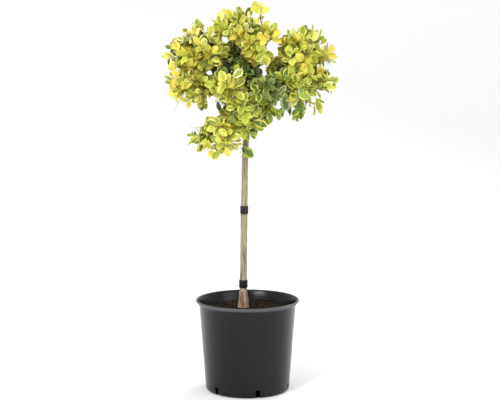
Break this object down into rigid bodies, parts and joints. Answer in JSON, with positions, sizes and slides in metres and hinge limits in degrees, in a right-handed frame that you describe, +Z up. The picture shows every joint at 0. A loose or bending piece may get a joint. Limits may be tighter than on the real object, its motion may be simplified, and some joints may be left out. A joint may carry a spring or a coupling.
{
  "type": "potted standard euonymus",
  "caption": "Standard euonymus in a black nursery pot: a clear upright stem with soft ties carries an uneven crown of gold variegated leaves.",
  "frame": {"origin": "centre of the pot's flat underside", "axes": "+Z up along the pot's axis, -Y towards the plant's front as pictured"},
  "size_m": [0.462, 0.361, 1.046],
  "materials": {
    "pot_plastic": "satin",
    "soil_earth": "matte",
    "bark": "matte",
    "tie_rubber": "satin",
    "leaves": "satin"
  },
  "bodies": {
    "root": {"back_left": "leaves", "back_low": "leaves", "back_mid": "leaves", "back_right": "leaves", "back_top": "leaves", "bough_back_left": "bark", "bough_back_low": "bark", "bough_back_mid": "bark", "bough_back_right": "bark", "bough_back_top": "bark", "bough_front": "bark", "bough_front_right": "bark", "bough_leader": "bark", "bough_left_high": "bark", "bough_left_low": "bark", "bough_right_high": "bark", "bough_right_low": "bark", "bough_skirt_left": "bark", "bough_skirt_right": "bark", "bough_skirt_tip": "bark", "bough_skirt_upper": "bark", "bough_top_right": "bark", "centre_front": "leaves", "core": "leaves", "far_tail": "leaves", "green_mid": "leaves", "inner_tail": "leaves", "left_lower": "leaves", "left_upper": "leaves", "mid_tail": "leaves", "pot": "pot_plastic", "right_inner": "leaves", "right_lower": "leaves", "right_tail": "leaves", "right_upper": "leaves", "skirt_left": "leaves", "skirt_right": "leaves", "skirt_tip": "leaves", "skirt_upper": "leaves", "soil": "soil_earth", "tie_lower": "tie_rubber", "tie_upper": "tie_rubber", "tip_shoot": "leaves", "top": "leaves", "top_right": "leaves", "top_shoot": "bark", "trunk": "bark"}
  },
  "joints": []
}
